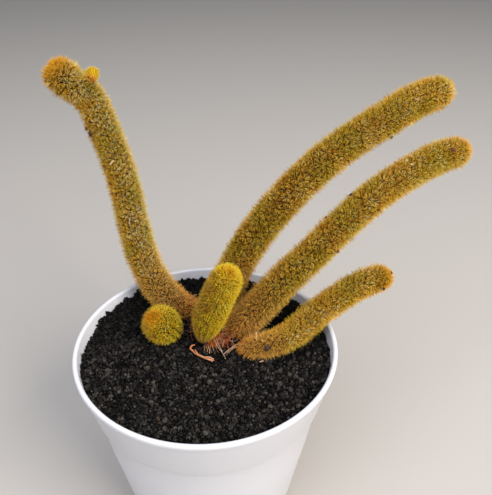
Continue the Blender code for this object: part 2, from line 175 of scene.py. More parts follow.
def smoothLine(points):
    # the places along the curve that Blender draws through the points
    curve = bpy.data.curves.new("line", "CURVE")
    curve.dimensions = "3D"
    curve.resolution_u = 12
    spline = curve.splines.new("BEZIER")
    spline.bezier_points.add(len(points) - 1)
    for knot, point in zip(spline.bezier_points, points):
        knot.co = point
        knot.handle_left_type = knot.handle_right_type = "AUTO"
    obj = bpy.data.objects.new("line", curve)
    bpy.context.scene.collection.objects.link(obj)
    mesh = bpy.data.meshes.new_from_object(obj.evaluated_get(bpy.context.evaluated_depsgraph_get()))
    line = [vertex.co.copy() for vertex in mesh.vertices]
    bpy.data.objects.remove(obj, do_unlink=True)
    bpy.data.meshes.remove(mesh)
    bpy.data.curves.remove(curve)
    return line


class Line:
    # read by its length; its side direction never twists
    def __init__(self, points):
        self.places = smoothLine(points)
        self.along = [0.0]
        for first, second in zip(self.places, self.places[1:]):
            self.along.append(self.along[-1] + (second - first).length)
        self.length = self.along[-1]
        last = self.heading(0)
        side = Vector((0, 0, 1)).cross(last)
        side = (side if side.length > 0.01 else Vector((1, 0, 0))).normalized()
        self.sides = []
        for index in range(len(self.places)):
            heading = self.heading(index)
            side = last.rotation_difference(heading) @ side
            side = (side - heading * side.dot(heading)).normalized()
            self.sides.append(side)
            last = heading

    def heading(self, index):
        low = max(index - 1, 0)
        high = min(index + 1, len(self.places) - 1)
        return (self.places[high] - self.places[low]).normalized()

    def at(self, distance):
        # place, heading and side; past either end the line goes straight on
        if distance <= 0:
            return self.places[0] + self.heading(0) * distance, self.heading(0), self.sides[0]
        if distance >= self.length:
            heading = self.heading(len(self.places) - 1)
            return self.places[-1] + heading * (distance - self.length), heading, self.sides[-1]
        index = bisect_left(self.along, distance) - 1
        share = (distance - self.along[index]) / (self.along[index + 1] - self.along[index])
        place = self.places[index].lerp(self.places[index + 1], share)
        heading = self.heading(index).lerp(self.heading(index + 1), share).normalized()
        return place, heading, self.sides[index].lerp(self.sides[index + 1], share).normalized()

    def distanceTo(self, point):
        return min((point - place).length for place in self.places)


# Stems: each one's line is that of its solid, from where it leaves the grit to its tip

stemForm = {
    "ribs": 16,
    "ribDepth": 0.15,       # share of the girth
    "valleyPower": 1.4,     # above 1 the furrows are narrower than the ribs
    "rootDepth": 0.012,
    "domeShare": 1.05,
    "waist": 0.02,          # how far up from its foot a stem gets its full girth, unless it has its own value
    "headLength": 0.024,    # how far down from its tip a head is thicker or slimmer
    "sides": 96,
    "ringPitch": 0.0019,
    "areolePitch": 0.0047,  # areoles along a rib
    "youngPitch": 0.0037,
    "areoleGap": 0.0021,    # least distance between two, which thins them out round the growing point
    "swelling": 0.035,      # how far a rib bulges at each areole
    "oldLength": 0.055,     # how far up the spines are old, unless a stem has its own value
    "ageing": 1.4,          # the age right at the foot, on the colours' scale
    "crownLength": (0.020, 0.0085),     # of a grown stem and of a young one
    "paintedLightSide": (0.85, -0.25, 0.45),     # painted light: spines facing this way are painted lighter, those facing away darker
}
stems = {
    "stem_left": {
        "piece": "leftStem", "radius": 0.0092, "young": 0.0, "head": 0.17, "thicken": 0.98, "bleach": 1.2,
        "path": (
            (-0.0158, 0.0373, 0.1390), (-0.0262, 0.0398, 0.1468), (-0.0376, 0.0465, 0.1580),
            (-0.0473, 0.0581, 0.1725), (-0.0543, 0.0724, 0.1907), (-0.0595, 0.0851, 0.2088),
            (-0.0656, 0.0962, 0.2269), (-0.0728, 0.1040, 0.2455), (-0.0780, 0.1072, 0.2605),
            (-0.0820, 0.1070, 0.2708), (-0.0862, 0.1042, 0.2778), (-0.0928, 0.0998, 0.2838),
            (-0.0990, 0.0958, 0.2964),
        ),
    },
    "stem_back": {
        "piece": "backStem", "radius": 0.0092, "young": 0.0, "head": -0.13, "thicken": 1.05, "crown": 0.2,
        "bleach": 0.65,
        "path": (
            (0.0086, 0.0419, 0.1390), (0.0130, 0.0404, 0.1605), (0.0217, 0.0407, 0.1818),
            (0.0343, 0.0435, 0.2029), (0.0457, 0.0476, 0.2168), (0.0692, 0.0580, 0.2388),
            (0.0856, 0.0661, 0.2496), (0.1140, 0.0806, 0.2631), (0.1426, 0.0967, 0.2736),
            (0.1636, 0.1067, 0.2769),
        ),
    },
    "stem_right": {
        "piece": "rightStem", "radius": 0.0082, "young": 0.0, "head": -0.08, "thicken": 1.07, "bleach": 0.7,
        "path": (
            (0.0189, 0.0178, 0.1390), (0.0266, 0.0163, 0.1502), (0.0385, 0.0166, 0.1658),
            (0.0507, 0.0201, 0.1792), (0.0646, 0.0262, 0.1907), (0.0917, 0.0418, 0.2115),
            (0.1142, 0.0569, 0.2241), (0.1359, 0.0702, 0.2319), (0.1586, 0.0832, 0.2374),
            (0.1779, 0.0918, 0.2391),
        ),
    },
    "stem_low": {
        "piece": "lowStem", "radius": 0.0070, "young": 0.0, "head": -0.04, "thicken": 1.04, "bleach": 0.7,
        "foot": 0.0042, "waist": 0.065, "old": 0.032,
        "path": (
            (0.0262, -0.0030, 0.1390), (0.0290, -0.0054, 0.1436), (0.0346, -0.0070, 0.1470),
            (0.0430, -0.0066, 0.1488), (0.0542, -0.0012, 0.1506), (0.0762, 0.0164, 0.1580),
            (0.1031, 0.0325, 0.1662), (0.1225, 0.0382, 0.1700),
        ),
    },
    "stem_centre": {
        "piece": "centreStem", "radius": 0.0094, "young": 1.0, "foot": 0.0028, "waist": 0.024, "crown": 0.7,
        "head": -0.13, "thicken": 0.96, "old": 0.015, "bleach": 1.5,
        "path": (
            (-0.0029, 0.0076, 0.1390), (0.0009, 0.0047, 0.1568), (0.0070, 0.0016, 0.1762),
            (0.0134, -0.0023, 0.1944), (0.0163, -0.0060, 0.2030),
        ),
    },
    "stem_ball": {
        "piece": "ballStem", "radius": 0.0113, "young": 1.0, "foot": 0.0070, "waist": 0.014, "thicken": 0.96,
        "old": 0.008, "crown": 1.3, "bleach": 1.4,
        "path": (
            (-0.0236, 0.0148, 0.1390), (-0.0265, 0.0116, 0.1454), (-0.0294, 0.0085, 0.1514),
            (-0.0338, 0.0037, 0.1613),
        ),
    },
}


class Stem(Line):
    def __init__(self, sizes):
        super().__init__(sizes["path"])
        self.radius = sizes["radius"]
        self.young = sizes["young"]
        self.head = sizes.get("head", 0.0)
        self.thicken = sizes.get("thicken", 1.0)
        self.crown = sizes.get("crown", 1.0)
        self.old = sizes.get("old", stemForm["oldLength"])
        # how strongly the side facing the lamps is painted lighter
        self.bleach = sizes.get("bleach", 1.0)
        self.foot = sizes.get("foot", self.radius)
        self.waist = sizes.get("waist", stemForm["waist"])
        self.dome = self.radius * stemForm["domeShare"]
        self.straight = self.length - self.dome
        self.skin = self.straight + self.dome * math.pi / 2  # measured over the dome to its pole

    def girth(self, distance):
        # slimmer at its foot, and a little thicker or slimmer at its head
        share = min(max(distance / self.waist, 0), 1)
        swell = 1 + self.head * min(max(1 - (self.length - distance) / stemForm["headLength"], 0), 1)
        return (self.foot + (self.radius - self.foot) * math.sin(share * math.pi / 2)) * swell * self.thicken

    def facts(self, distance, out):
        # what the colours follow: how old the spines are, how near the growing point is, and painted light
        # that is lighter on the side facing the lamps
        crownLength = stemForm["crownLength"][self.young > 0]
        return {
            "age": max(0.0, stemForm["ageing"] * (1 - distance / self.old)),
            "crown": self.crown * max(0.0, 1 - (self.skin - distance) / crownLength),
            "young": self.young,
            "sun": self.bleach * (0.5 + 0.5 * out.dot(Vector(stemForm["paintedLightSide"]).normalized())),
        }

    def surface(self, distance, angle, share=1.0):
        # a point at a share of the girth, with the direction straight out of it
        turn = 0.0
        if distance > self.straight:
            turn = min((distance - self.straight) / self.dome, math.pi / 2)
            distance = self.straight + self.dome * math.sin(turn)
        place, heading, side = self.at(distance)
        out = side * math.cos(angle) + heading.cross(side) * math.sin(angle)
        point = place + out * self.girth(distance) * share * math.cos(turn)
        return point, (out * math.cos(turn) + heading * math.sin(turn)).normalized(), heading


def drawnTube(sides, length, pitch, layers, shape):
    # a tube with closed ends, cut into rings; shape() places a vertex by its distance along and angle round
    bm = bmesh.new()
    bmesh.ops.create_cone(bm, cap_ends=True, segments=sides, radius1=1, radius2=1, depth=1)
    upright = [edge for edge in bm.edges if abs(edge.verts[0].co.z - edge.verts[1].co.z) > 0.5]
    bmesh.ops.subdivide_edges(bm, edges=upright, cuts=max(1, round(length / pitch)))
    for name in layers:
        bm.verts.layers.float.new(name)
    for vertex in bm.verts:
        shape(bm, vertex, (vertex.co.z + 0.5) * length, math.atan2(vertex.co.y, vertex.co.x))
    bmesh.ops.remove_doubles(bm, verts=bm.verts, dist=0.00002)
    bmesh.ops.recalc_face_normals(bm, faces=bm.faces)
    return bm


def makeBody(stem):
    pitch = stemForm["youngPitch"] if stem.young else stemForm["areolePitch"]

    def shape(bm, vertex, reach, angle):
        distance = reach - stemForm["rootDepth"]
        rib = round(angle / (2 * math.pi) * stemForm["ribs"])
        valley = abs(math.sin(angle * stemForm["ribs"] / 2)) ** stemForm["valleyPower"]
        bulge = math.cos(2 * math.pi * (distance / pitch - rib % 2 / 2)) * (1 - valley)
        share = 1 - stemForm["ribDepth"] * valley + stemForm["swelling"] * bulge
        vertex.co, out, heading = stem.surface(distance, angle, share)
        vertex[bm.verts.layers.float["furrow"]] = valley
        for key, value in stem.facts(distance, out).items():
            vertex[bm.verts.layers.float[key]] = value

    layers = ("reach", "shade", "furrow", "age", "crown", "young", "sun")
    length = stem.skin + stemForm["rootDepth"]
    return drawnTube(stemForm["sides"], length, stemForm["ringPitch"], layers, shape)


# Spines: tufts of them are made once, then set on every areole

fullTurn = 6.28             # radians
tuftForms = {
    # spread-out outer spines and upright inner ones:
    # how many, length, lean in degrees, turns round the areole
    "grown": {
        "kinds": 14, "outer": (13, (0.0030, 0.0049), (56, 84), 1.0),
        "inner": (14, (0.0033, 0.0052), (4, 54), 2.6),
        "radius": 0.00016,      # at its root; a real spine is 0.1 mm thick, drawn thicker to show
        "seed": 3,
    },
    "young": {
        "kinds": 14, "outer": (12, (0.0022, 0.0034), (52, 80), 1.0),
        "inner": (14, (0.0024, 0.0038), (4, 48), 2.6),
        "radius": 0.00015, "seed": 4,
    },
    "clear": 0.0005,        # no tuft sits lower over the grit
    "upward": 0.35,         # tufts lean by up to this towards the tip
    "scale": (0.9, 1.1),
    "footSize": 0.4,        # of a young stem's lowest tufts
    "fading": 0.35,         # a random spread of tone from tuft to tuft, added to the painted light value
}
areoleForm = {
    "spread": 0.0005, "sunk": 0.0004,
    "taper": 0.42,                      # a spine's width at its point, as a share of that at its root
    "uneven": 0.4,                      # how far a spine strays from its even place round the areole
    "wool": {"width": 0.0008, "height": 0.0008, "taper": 0.3, "sides": 6},
}


def addSpine(bm, form, length, lean, spin, tint):
    made = bmesh.ops.create_cone(
        bm, cap_ends=False, segments=3, radius1=form["radius"],
        radius2=form["radius"] * areoleForm["taper"], depth=length,
        matrix=Matrix.Translation((0, 0, length / 2 - areoleForm["sunk"])),
    )["verts"]
    for vertex in made:
        vertex[bm.verts.layers.float["reach"]] = 1.0 if vertex.co.z > length / 2 else 0.0
        vertex[bm.verts.layers.float["shade"]] = tint
    turn = Matrix.Rotation(spin, 4, "Z") @ Matrix.Rotation(lean, 4, "Y") @ Matrix.Rotation(spin, 4, "Z")
    spread = areoleForm["spread"]
    shift = Matrix.Translation((math.cos(spin) * spread, math.sin(spin) * spread, 0))
    bmesh.ops.transform(bm, matrix=shift @ turn, verts=made)


def makeTufts(form):
    rng = random.Random(form["seed"])
    tufts = []
    for index in range(form["kinds"]):
        bm = bmesh.new()
        for name in ("reach", "shade"):
            bm.verts.layers.float.new(name)
        wool = areoleForm["wool"]
        bmesh.ops.create_cone(
            bm, cap_ends=False, segments=wool["sides"], radius1=wool["width"],
            radius2=wool["width"] * wool["taper"], depth=wool["height"],
        )
        for face in bm.faces:
            face.material_index = 1     # felt; the spines stay 0
        uneven = areoleForm["uneven"]
        for count, lengths, leans, turns in (form["outer"], form["inner"]):
            for number in range(count):
                lean = math.radians(rng.uniform(*leans))
                spin = 2 * math.pi * (number + rng.uniform(-uneven, uneven)) / count * turns
                addSpine(bm, form, rng.uniform(*lengths), lean, spin, rng.random())
        mesh = bpy.data.meshes.new(f"tuft{index}")
        bm.to_mesh(mesh)
        bm.free()
        for key in ("age", "crown", "young", "sun"):
            mesh.attributes.new(key, "FLOAT", "POINT")
        tufts.append(mesh)
    return tufts


def setTuft(bm, tuft, point, out, spin, scale, facts):
    turn = out.to_track_quat("Z", "Y").to_matrix().to_4x4() @ Matrix.Rotation(spin, 4, "Z")
    copy = tuft.copy()
    copy.transform(Matrix.Translation(point) @ turn @ Matrix.Scale(scale, 4))
    for key, value in facts.items():
        copy.attributes[key].data.foreach_set("value", [value] * len(copy.vertices))
    bm.from_mesh(copy)
    bpy.data.meshes.remove(copy)


def areoles(stem):
    # places along the skin and angles round it, tip first, in rows that are staggered from rib to rib
    pitch = stemForm["youngPitch"] if stem.young else stemForm["areolePitch"]
    found = []
    for row in range(math.ceil(stem.skin / pitch), -1, -1):
        for rib in range(stemForm["ribs"]):
            distance = (row + rib % 2 / 2) * pitch
            angle = 2 * math.pi * rib / stemForm["ribs"]
            if distance > stem.skin:
                continue
            point, out, heading = stem.surface(distance, angle)
            near = found[-3 * stemForm["ribs"]:]    # those of the last three rows
            if all((point - other[0]).length > stemForm["areoleGap"] for other in near):
                found.append((point, out, heading, distance))
    return found


bud = {
    "stem": "stem_left", "centre": (-0.0790, 0.1092, 0.2860), "radius": 0.0037, "stretch": 1.3,
    "tufts": 90, "scale": (0.42, 0.5), "steepness": 0.5,
    "foot": 0.35, "ageing": 1.8,        # below this share of its height the spines are older, and how fast
    # how much painted light the bud's spines get
    "sun": 1.2, "seed": 21,
}


def addBud(bm, stem, tufts):
    # an egg of yellow wool and short spines, on the outside of the bend
    rng = random.Random(bud["seed"])
    centre = Vector(bud["centre"])
    foot = min(stem.places, key=lambda place: (place - centre).length)
    turn = (centre - foot).to_track_quat("Z", "Y").to_matrix().to_4x4()
    place = Matrix.Translation(centre) @ turn @ Matrix.Diagonal((1, 1, bud["stretch"], 1))
    made = bmesh.ops.create_icosphere(bm, subdivisions=4, radius=bud["radius"], matrix=place)["verts"]
    for vertex in made:
        # the ball takes the spines' yellow, at full painted light
        for key, value in (("young", 1.0), ("reach", 1.0), ("shade", 0.6), ("sun", 1.0)):
            vertex[bm.verts.layers.float[key]] = value
        for face in vertex.link_faces:
            face.material_index = 0
    golden = math.pi * (3 - math.sqrt(5))
    for index in range(bud["tufts"]):
        height = 1 - 2 * (index + 0.5) / bud["tufts"]
        level = math.sqrt(1 - height * height)
        spot = Vector((level * math.cos(index * golden), level * math.sin(index * golden), height))
        point = place @ (spot * bud["radius"])
        if stem.distanceTo(point) < stem.radius:
            continue
        out = (point - centre).normalized() + (centre - foot).normalized() * bud["steepness"]
        age = max(0.0, -height - bud["foot"]) * bud["ageing"]
        facts = {"age": age, "crown": 0.0, "young": 1.0, "sun": bud["sun"]}
        tuft = rng.choice(tufts)
        spin = rng.uniform(0, fullTurn)
        setTuft(bm, tuft, point, out.normalized(), spin, rng.uniform(*bud["scale"]), facts)


oldSpines = {
    # the old spines get a middling painted light
    "age": (1.5, 2.0), "sun": 0.8, "stray": 0.4, "seed": 31,
    # rust red tufts right of the centre stem's foot, and stubble in front of the bud
    "stem_centre": {"out": (0.4, -0.6, 0.7), "scale": (0.9, 1.2), "spots": (
        (0.0082, 0.0078, 0.1428), (0.0068, 0.0062, 0.1430), (0.0092, 0.0062, 0.1420),
        (0.0056, 0.0036, 0.1422), (0.0044, 0.0016, 0.1414), (0.0030, 0.0006, 0.1412),
        (0.0066, 0.0006, 0.1408), (-0.0006, 0.0006, 0.1412),
    )},
    "stem_left": {"out": (0.1, -0.6, 0.8), "scale": (0.6, 0.8), "spots": (
        (-0.0790, 0.1012, 0.2868), (-0.0770, 0.1006, 0.2858), (-0.0756, 0.0998, 0.2846),
    )},
}


def addOldSpines(bm, patch, tufts):
    rng = random.Random(oldSpines["seed"])
    stray = oldSpines["stray"]
    for spot in patch["spots"]:
        out = Vector(patch["out"]) + Vector((rng.uniform(-stray, stray), rng.uniform(-stray, stray), 0))
        facts = {"age": rng.uniform(*oldSpines["age"]), "crown": 0.0, "young": 0.0, "sun": oldSpines["sun"]}
        size = rng.uniform(*patch["scale"])
        tuft = rng.choice(tufts)
        setTuft(bm, tuft, Vector(spot), out.normalized(), rng.uniform(0, fullTurn), size, facts)


def makeStem(name, tufts, stemMaterials, allStems):
    stem = allStems[name]
    rng = random.Random(name)
    bm = makeBody(stem)
    for face in bm.faces:
        face.material_index = 2     # skin
    for point, out, heading, distance in areoles(stem):
        if point.z < gritForm["level"] + tuftForms["clear"]:
            continue
        up = (out + heading * rng.uniform(0.0, tuftForms["upward"])).normalized()
        grown = min(1, tuftForms["footSize"] + distance / stem.waist * (1 - tuftForms["footSize"]))
        size = rng.uniform(*tuftForms["scale"]) * (grown if stem.young else 1)
        facts = stem.facts(distance, out)
        facts["sun"] += rng.uniform(-tuftForms["fading"], tuftForms["fading"])
        tuft = rng.choice(tufts)
        setTuft(bm, tuft, point, up, rng.uniform(0, fullTurn), size, facts)
    if name == bud["stem"]:
        addBud(bm, stem, tufts)
    if name in oldSpines:
        addOldSpines(bm, oldSpines[name], tufts)
    return newPiece(stems[name]["piece"], bm, stemMaterials, name)


def stemMaterialSet():
    # spine: dry horn-like thorn, brown at its root and straw gold at its point; the lower part is painted
    # near black as shade deep among the spines
    spine, tree, shader = newMaterial("golden cactus spine", 0.5, 1.45)
    shader.inputs["Specular IOR Level"].default_value = 0.1
    shader.inputs["Subsurface Weight"].default_value = 0.6
    shader.inputs["Subsurface Radius"].default_value = (1.0, 0.6, 0.15)
    shader.inputs["Subsurface Scale"].default_value = 0.001
    place = addNode(tree, "ShaderNodeTexCoord").outputs["Object"]
    # painted light: the spine tones shift lighter where they face the lamps, on top of each spine's own
    # random tone
    sun = addNode(tree, "ShaderNodeAttribute", {"attribute_name": "sun"}).outputs["Fac"]
    bleach = addNode(tree, "ShaderNodeMapRange", {"To Max": 0.4}, {"Value": sun}).outputs["Result"]
    own = addNode(tree, "ShaderNodeAttribute", {"attribute_name": "shade"}).outputs["Fac"]
    settings = {"operation": "MULTIPLY_ADD", 1: 0.65}
    shade = addNode(tree, "ShaderNodeMath", settings, {0: own, 2: bleach}).outputs[0]
    grown = addNode(tree, "ShaderNodeValToRGB", {"stops": (
        (0.0, "#5E300C"), (0.25, "#B8701A"), (0.5, "#F2A62C"), (0.8, "#FFCC50"), (1.0, "#FFECB4"),
    )}, {0: shade}).outputs["Color"]
    patch = addNode(
        tree, "ShaderNodeTexNoise", {"Scale": 50.0, "Detail": 1.0}, {"Vector": place},
    ).outputs["Fac"]
    grown = overlay(tree, grown, "#AC9E1C", patch, 0.42, 0.62, 0.35)
    fresh = addNode(tree, "ShaderNodeValToRGB", {"stops": (
        (0.0, "#6C4420"), (0.25, "#D49430"), (0.5, "#FFB81C"), (0.8, "#FFD010"), (1.0, "#FFEA60"),
    )}, {0: shade}).outputs["Color"]
    # painted shade: young spines that face away from the lamps turn a dull tan
    fresh = overlay(tree, fresh, "#A8743A", sun, 0.75, 0.3, 0.6)
    tone = overlay(tree, grown, fresh, "young")
    tone = overlay(tree, tone, "#FFAE56", "age", share=0.75)
    tone = overlay(tree, tone, "#F05A08", "age", 1.0, 2.0)
    glow = overlay(tree, "#F29A20", "#FF8E10", "young")
    tone = overlay(tree, tone, glow, "crown", 0.2, 0.9)
    # painted shade: the brown root, darkened to near black over the lower part of each spine
    root = overlay(tree, "#180A02", "#7E4C0A", "young")
    root = overlay(tree, root, "#6E3A12", "age", share=0.8)
    tone = overlay(tree, tone, root, "reach", 0.7, 0.15)
    tree.links.new(tone, shader.inputs["Base Color"])
    # wool: short felt that holds the spines, rust brown
    wool, tree, shader = newMaterial("areole felt", 0.95, 1.4)
    shader.inputs["Specular IOR Level"].default_value = 0.1
    place = addNode(tree, "ShaderNodeTexCoord").outputs["Object"]
    mottle = addNode(
        tree, "ShaderNodeTexNoise", {"Scale": 300.0, "Detail": 2.0}, {"Vector": place},
    ).outputs["Fac"]
    tone = addNode(tree, "ShaderNodeValToRGB", {"stops": (
        (0.3, "#301A0A"), (0.7, "#603C16"),
    )}, {0: mottle}).outputs["Color"]
    tree.links.new(tone, shader.inputs["Base Color"])
    # skin: waxy green flesh, corky towards the foot; its green is kept dark, partly as painted shade under
    # the spines, and darker still in the furrows as painted shade
    skin, tree, shader = newMaterial("waxy cactus skin", 0.55, 1.4)
    shader.inputs["Specular IOR Level"].default_value = 0.1     # dulled by its felt and dust
    place = addNode(tree, "ShaderNodeTexCoord").outputs["Object"]
    mottle = addNode(
        tree, "ShaderNodeTexNoise", {"Scale": 140.0, "Detail": 3.0}, {"Vector": place},
    ).outputs["Fac"]
    tone = addNode(tree, "ShaderNodeValToRGB", {"stops": (
        (0.3, "#1E1C06"), (0.55, "#30300A"), (0.75, "#46440E"),
    )}, {0: mottle}).outputs["Color"]
    patch = addNode(
        tree, "ShaderNodeTexNoise", {"Scale": 50.0, "Detail": 1.0}, {"Vector": place},
    ).outputs["Fac"]
    tone = overlay(tree, tone, "#2E1A0A", patch, 0.58, 0.42, 0.8)     # where old felt has stained it
    tone = overlay(tree, tone, "#4E3E0A", "young")
    tone = overlay(tree, tone, "#3A220E", "age", share=0.8)
    # painted shade in the furrows
    tone = overlay(tree, tone, "#100C04", "furrow", 0.2, 1.0, 0.8)
    tree.links.new(tone, shader.inputs["Base Color"])
    return spine, wool, skin


# Grit

gritForm = {
    "level": 0.1388,
    "above": 0.2,                      # over all of it, to look for its top from
    "radius": 0.0806,                  # where the pot's wall is, at the level of the grit
    "coarse": {"pitch": 0.0031, "size": (0.0010, 0.0020), "sunk": (-0.2, 0.9)},
    "fine": {"pitch": 0.0021, "size": (0.0006, 0.0012), "sunk": (0.0, 1.2)},
    "edge": {"pitch": 0.0019, "size": (0.0008, 0.0021), "sunk": (-0.2, 1.3)},   # leaning against the wall
    "edgeWaves": (30, 0.0030),         # how many lumps along the wall, and their height
    "wallDrop": (0.0030, 0.0018),      # by the wall only grains are left: how wide, how deep
    "paintedBackShade": {"from": -0.015, "to": 0.035, "share": 0.5},    # darker towards the back: painted shade
    "kinds": 14, "roughen": 0.38,
    "flatness": ((0.75, 1), (0.6, 0.9)),   # a grain's width and height, as shares of its length
    "rowShare": 0.87, "jitter": 0.4,   # of the grid that the grains start from
    "wallGap": 0.6, "edgeGap": (0.5, 0.8),     # from a grain's middle to the wall, as a share of its size
    "relief": 0.0005,
    # where the grit is lower by the wall: bearing and half width in degrees, and depth
    "dips": ((172, 15, 0.0036), (6, 12, 0.0022), (92, 50, 0.0012)),
    "dipWidth": 0.02,
    "topDepth": 0.004,                 # how far under its level the lumpy top reaches
    "seed": 8,
}


def dipAt(x, y):
    # how much lower the grit lies at a place than in the solid
    bearing = math.degrees(math.atan2(y, x))
    near = min(max((math.hypot(x, y) - gritForm["radius"]) / gritForm["dipWidth"] + 1, 0), 1)
    wide, drop = gritForm["wallDrop"]
    depth = drop * min(max((math.hypot(x, y) - gritForm["radius"]) / wide + 1, 0), 1)
    for middle, half, deep in gritForm["dips"]:
        away = abs((bearing - middle + 180) % 360 - 180) / half
        depth += deep * near * (0.5 + 0.5 * math.cos(math.pi * min(away, 1)))
    return depth


def makeBed(material):
    # the solid's own form, with its top cut finer and roughened
    bm = bmesh.new()
    bm.from_mesh(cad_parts["grit"].data)
    bmesh.ops.remove_doubles(bm, verts=bm.verts, dist=0.00001)
    topFoot = gritForm["level"] - gritForm["topDepth"]
    top = [face for face in bm.faces if face.normal.z > 0.5 and face.calc_center_median().z > topFoot]
    edges = list({edge for face in top for edge in face.edges})
    bmesh.ops.subdivide_edges(bm, edges=edges, cuts=2, use_grid_fill=True)
    bmesh.ops.triangulate(bm, faces=bm.faces)
    for vertex in bm.verts:
        inside = all(face.normal.z > 0.4 for face in vertex.link_faces)
        if inside and vertex.co.z > topFoot:
            vertex.co.z += gritForm["relief"] * noise.noise(vertex.co * 500)
        if vertex.co.z > gritForm["level"] - gritForm["topDepth"] * 1.5:
            vertex.co.z -= dipAt(vertex.co.x, vertex.co.y)
    bmesh.ops.recalc_face_normals(bm, faces=bm.faces)
    ground = BVHTree.FromBMesh(bm)
    newPiece("gritBed", bm, [material], "grit", smooth=False)
    return ground


def grainSpots(rng):
    # a jittered grid of coarse and one of fine grains, and a ring of them by the wall
    spots = []
    jitter = gritForm["jitter"]
    for sort in ("coarse", "fine"):
        pitch = gritForm[sort]["pitch"]
        cells = math.ceil(gritForm["radius"] / pitch / gritForm["rowShare"])
        for column in range(-cells, cells + 1):
            for row in range(-cells, cells + 1):
                x = (column + row % 2 / 2 + rng.uniform(-jitter, jitter)) * pitch
                y = (row * gritForm["rowShare"] + rng.uniform(-jitter, jitter)) * pitch
                size = rng.uniform(*gritForm[sort]["size"])
                if math.hypot(x, y) < gritForm["radius"] - size * gritForm["wallGap"]:
                    spots.append((x, y, size, sort))
    count = round(2 * math.pi * gritForm["radius"] / gritForm["edge"]["pitch"])
    for index in range(count):
        bearing = 2 * math.pi * (index + rng.uniform(-jitter, jitter)) / count
        size = rng.uniform(*gritForm["edge"]["size"])
        reach = gritForm["radius"] - size * rng.uniform(*gritForm["edgeGap"])
        spots.append((math.cos(bearing) * reach, math.sin(bearing) * reach, size, "edge"))
    return spots


def makeGrains(material, ground, allStems, stalk):
    rng = random.Random(gritForm["seed"])
    kinds = []
    for index in range(gritForm["kinds"]):
        bm = bmesh.new()
        tone = bm.verts.layers.float.new("grain")
        for vertex in bmesh.ops.create_icosphere(bm, subdivisions=1, radius=1)["verts"]:
            vertex.co *= 1 + gritForm["roughen"] * rng.uniform(-1, 1)
            vertex[tone] = 0
        mesh = bpy.data.meshes.new("grainKind")
        bm.to_mesh(mesh)
        bm.free()
        kinds.append(mesh)
    bm = bmesh.new()
    bm.verts.layers.float.new("grain")
    paintedBackShade = gritForm["paintedBackShade"]
    wide, tall = gritForm["flatness"]
    for x, y, size, sort in grainSpots(rng):
        hit = ground.ray_cast(Vector((x, y, gritForm["above"])), Vector((0, 0, -1)))[0]
        top = max(hit.z if hit else 0, gritForm["level"] - 0.001 - dipAt(x, y))
        if sort == "edge":
            lumps, height = gritForm["edgeWaves"]
            top += height * noise.noise(Vector((x, y, 0)) / gritForm["radius"] * lumps / 3)
        centre = Vector((x, y, top + size * rng.uniform(*gritForm[sort]["sunk"])))
        if any(stem.distanceTo(centre) < stem.girth(0) + size * 0.4 for stem in allStems.values()):
            continue
        if min((centre - place).length for place in stalk) < size * 1.1 + dryForm["radius"][0]:
            continue
        copy = rng.choice(kinds).copy()
        turn = Vector((rng.gauss(0, 1), rng.gauss(0, 1), rng.gauss(0, 1))).to_track_quat("Z", "Y")
        shape = Matrix.Diagonal((size, size * rng.uniform(*wide), size * rng.uniform(*tall), 1))
        copy.transform(Matrix.Translation(centre) @ turn.to_matrix().to_4x4() @ shape)
        # painted shade: grains darker towards the back
        backShadeShare = min(max((y - paintedBackShade["from"]) / (paintedBackShade["to"] - paintedBackShade["from"]), 0), 1)
        tone = rng.random() * (1 - paintedBackShade["share"] * backShadeShare)
        copy.attributes["grain"].data.foreach_set("value", [tone] * len(copy.vertices))
        bm.from_mesh(copy)
        bpy.data.meshes.remove(copy)
    return newPiece("gritGrains", bm, [material], smooth=False)


def gritMaterial():
    # crushed black lava and char: dull, rough, with a few brown, grey and rusty grains
    material, tree, shader = newMaterial("crushed lava grit", 0.8, 1.5)
    shader.inputs["Specular IOR Level"].default_value = 0.08    # the pores swallow most of the sheen
    place = addNode(tree, "ShaderNodeTexCoord").outputs["Object"]
    grain = addNode(tree, "ShaderNodeAttribute", {"attribute_name": "grain"}).outputs["Fac"]
    # the bed reads no grain value and takes the first, near black stop: black lava, darkened further as
    # painted shade in the gaps between grains
    tone = addNode(tree, "ShaderNodeValToRGB", {"stops": (
        (0.0, "#030303"), (0.3, "#110F0E"), (0.8, "#2E2B28"),
        (0.985, "#4E4943"), (0.99, "#42392A"), (1.0, "#4E3C38"),
    )}, {0: grain}).outputs["Color"]
    pores = addNode(
        tree, "ShaderNodeTexNoise", {"Scale": 1100.0, "Detail": 3.0}, {"Vector": place},
    ).outputs["Fac"]
    # painted shade: dark pits where the pore pattern is low
    tone = overlay(tree, tone, "#040404", pores, 0.5, 0.36, 0.8)
    # painted glints: pale flecks where the pore pattern is high
    tone = overlay(tree, tone, "#54504C", pores, 0.58, 0.72, 0.5)
    tree.links.new(tone, shader.inputs["Base Color"])
    bump = addNode(
        tree, "ShaderNodeBump", {"Strength": 0.9, "Distance": 0.0009}, {"Height": pores},
    ).outputs["Normal"]
    tree.links.new(bump, shader.inputs["Normal"])
    return material


# Pot

potForm = {
    "rim": 0.085, "height": 0.145,
    "lip": (0.0029, 0.0034),            # width and height
    "lipSlope": 0.0005,                 # height over which the lip's foot meets the collar
    "collar": 0.0335, "inset": 0.0008,
    "step": 0.0021, "stepSlope": 0.0003,
    "tuck": 0.0011,                     # how much narrower the pot is at the step than its taper gives
    "slimLength": 0.032,                # how far under the collar it has the taper's width again
    "taper": 0.175, "wall": 0.0018, "floor": 0.0025, "footRound": 0.0025,
    "innerStep": (0.0022, 0.0012),      # where the inner wall steps in, over and under the collar's foot
    "steps": 144, "round": 0.0005, "lipRound": 0.0012,
    "drain": {"radius": 0.0045, "circle": 0.036, "count": 6, "sides": 32},
}


def collarRadius(height):
    return potForm["rim"] - potForm["inset"] - potForm["taper"] * (potForm["height"] - height)


def bodyRadius(height):
    return collarRadius(height) - potForm["step"]


